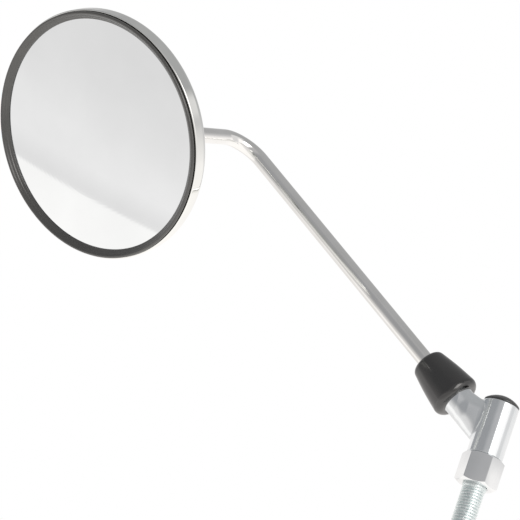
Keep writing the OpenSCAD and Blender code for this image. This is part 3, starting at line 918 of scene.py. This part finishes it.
def makeBall():
    s = ballSizes
    rim = math.degrees(math.asin(s["neck"] / s["radius"]))
    onLeg = placeAlong(ballPlace, legDir, (1, 0, 0))
    outline = [(0, -s["sink"]), (s["neck"], -s["sink"])]
    outline += arcPoints((0, 0), s["radius"], rim - 90, 90, 72)
    dress(turnedPiece("ballEnd", outline, onLeg, plainSteel, sides=160), "arm", "plain_steel", "ball_end")


makeBall()

# Boot: a flared rubber sleeve with rounded ends
bootSizes = {
    "start": 22.0,
    "length": 23.0,
    "topRadius": 7.6,
    "baseRadius": 10.6,
    "topRound": 2.6,
    "baseRound": 3.0,
    "mouth": 6.86,
    "hole": 3.56,
    "hollow": 11.5,
    "hollowCone": 3.0,
    "lipRound": 0.3,
    "belly": 0.25,  # how far the side swells between its ends
    "endSteps": 28,
    "sideSteps": 12,
}


def makeBoot():
    s = bootSizes
    top, base = s["topRadius"], s["baseRadius"]
    lean = math.degrees(math.atan((base - top) / (s["length"] - s["topRound"] - s["baseRound"])))
    low = arcPoints((base - s["baseRound"], s["baseRound"]), s["baseRound"], -90, lean, s["endSteps"])
    high = arcPoints((top - s["topRound"], s["length"] - s["topRound"]), s["topRound"], lean, 90, s["endSteps"])
    side = []
    for i in range(1, s["sideSteps"]):
        share = i / s["sideSteps"]
        r = low[-1][0] + (high[0][0] - low[-1][0]) * share + s["belly"] * math.sin(math.pi * share)
        side.append((r, low[-1][1] + (high[0][1] - low[-1][1]) * share))
    edge = s["lipRound"]
    lip = arcPoints((s["mouth"] + edge, edge), edge, 180, 270, 6)
    collar = arcPoints((s["hole"] + edge, s["length"] - edge), edge, 90, 180, 6)
    inside = [(s["hole"], s["hollow"] + s["hollowCone"]), (s["mouth"], s["hollow"])]
    outline = lip + low + side + high + collar + inside
    outline = [(r, z + s["start"]) for r, z in outline]
    boot = turnedPiece("rubberBoot", outline, onArm, bootRubber)
    boot.visible_glossy = False  # no small black image of it in the barrel's edge
    dress(boot, "boot", "boot_rubber", "boot")


makeBoot()
print("ball and boot made")

# Head: glass, rubber ring and shell, all turned about the head's own axis
headSizes = {
    "glassRadius": 49.9,
    "viewRadius": 49.0,
    "glassFront": 16.0,
    "glassThick": 2.0,
    "glassCurve": 1200.0,
    "ringFoot": 11.2,
    "ringRadius": 52.1,
    "ringSlant": 1.2,
    "beadRadius": 0.75,
    "beadOver": 0.25,  # how far the bead stands out over the ring's wall
    "beadTop": 18.65,
    "lipRadius": 0.3,
    "ribHeight": 0.14,  # a low rib halfway down the flank
    "ribShare": 0.12,  # its half width, as a share of the flank
    "rimLow": 12.6,
    "rimHigh": 16.5,
    "shellRadius": 53.0,
    "shellThick": 0.9,
    "shellCorner": 4.0,
    "shellPole": -10.0,
    "shellHole": 6.6,
    "holeRound": 0.3,
    "discLow": 12.2,
    "flange": 2.7,
}


# Height of the glass's front face at a radius
def glassFace(radius):
    s = headSizes
    curve = s["glassCurve"]
    return s["glassFront"] + math.sqrt(curve ** 2 - radius ** 2) - math.sqrt(curve ** 2 - s["viewRadius"] ** 2)


def makeGlass():
    s = headSizes
    steps, bevel = 32, 0.15
    radii = [(s["glassRadius"] - bevel) * i / steps for i in range(steps + 1)]
    back = [(r, glassFace(r) - s["glassThick"]) for r in radii]
    face = [(r, glassFace(r)) for r in reversed(radii)]
    edge = [(s["glassRadius"], back[-1][1] + bevel), (s["glassRadius"], face[0][1] - bevel)]
    glass = turnedPiece("mirrorGlass", back + edge + face, onHead, mirrorSilver)
    dress(glass, "head", "silvered_glass", "mirror_glass")


# The flank between the lip and the bead, with a low rib along its middle
def flankPoints(start, end, rib, ribShare, steps=18):
    a, b = Vector(start), Vector(end)
    along = (b - a).normalized()
    out = Vector((along.y, -along.x))
    points = []
    for i in range(1, steps):
        share = i / steps
        lift = rib * math.exp(-((share - 0.5) / ribShare) ** 2) - rib * math.sin(math.pi * share)
        points.append(tuple(a.lerp(b, share) + out * lift))
    return points


def makeRing():
    s = headSizes
    gR, vR, beadR, lipR = s["glassRadius"], s["viewRadius"], s["beadRadius"], s["lipRadius"]
    front, inside = s["glassFront"], s["glassRadius"] - s["flange"]
    bead = arcPoints((s["ringRadius"] + s["beadOver"] - beadR, s["beadTop"] - beadR), beadR, -60, 135, 36)
    lip = arcPoints((vR + lipR, front + lipR), lipR, 135, 180, 8)
    outline = [(inside, s["ringFoot"]), (s["ringRadius"] - s["ringSlant"], s["ringFoot"]),
               (s["ringRadius"], s["rimLow"]), (s["ringRadius"], s["rimHigh"])]
    outline += bead + flankPoints(bead[-1], lip[0], s["ribHeight"], s["ribShare"]) + lip
    outline += [(vR, front), (gR, front), (gR, s["discLow"]), (inside, s["discLow"])]
    dress(turnedPiece("rubberRing", outline, onHead, ringRubber), "head", "rim_rubber", "rim_ring")


def makeShell():
    s = headSizes
    edge = s["shellThick"] / 2
    cornerR = s["shellRadius"] - s["shellCorner"]
    slope = (s["rimLow"] - s["shellCorner"] - s["shellPole"]) / cornerR
    sweep = 90 - 2 * math.degrees(math.atan(slope))
    domeZ = s["rimLow"] + cornerR * math.tan(math.radians(sweep))
    domeR = cornerR / math.cos(math.radians(sweep)) + s["shellCorner"]
    inner = domeR - s["shellThick"]
    lipR = s["holeRound"]
    holeOut = math.degrees(math.asin((s["shellHole"] + lipR) / domeR))
    holeIn = math.degrees(math.asin((s["shellHole"] + lipR) / inner))
    outline = arcPoints((s["shellRadius"] - edge, s["rimHigh"]), edge, 180, 0, 16)
    outline += arcPoints((cornerR, s["rimLow"]), s["shellCorner"], 0, -sweep, 28)
    outline += arcPoints((0, domeZ), domeR, -sweep - 1, holeOut - 90, 56)
    poleOut = domeZ - domeR * math.cos(math.radians(holeOut))
    poleIn = domeZ - inner * math.cos(math.radians(holeIn))
    outline += [(s["shellHole"], poleOut + lipR), (s["shellHole"], poleIn - lipR * 0.6)]
    outline += arcPoints((0, domeZ), inner, holeIn - 90, -sweep - 1, 40)
    outline += arcPoints((cornerR, s["rimLow"]), s["shellCorner"] - s["shellThick"], -sweep, 0, 20)
    # The outline runs clockwise from the rim, so it is turned round to keep the solid on its left
    shell = turnedPiece("chromedShell", outline[::-1], onHead, shellChrome)
    dress(shell, "head", "shell_chrome", "shell")


makeGlass()
makeRing()
makeShell()
print("head made")

# Inner pieces keep their own solids and get their finish
finishes = {
    "arm_washer": plainSteel, "arm_lock_nut": plainSteel, "front_seat": seatNylon, "rear_seat": seatNylon,
    "socket_plate": plainSteel, "pressure_plate": plainSteel, "backing_disc": plainSteel, "foam_pad": padFoam,
}
for number in (1, 2, 3):
    finishes[f"clamp_screw_{number}"] = zincBright
    finishes[f"clamp_nut_{number}"] = zincBright
    finishes[f"cup_spring_{number}"] = springSteel
for name, material in finishes.items():
    node = frame["nodes"][name]
    if not node.material_slots:
        node.data.materials.append(material)
    for place in node.material_slots:
        place.material = material
print("inner pieces finished")

bpy.context.scene.view_settings.view_transform = "Standard"
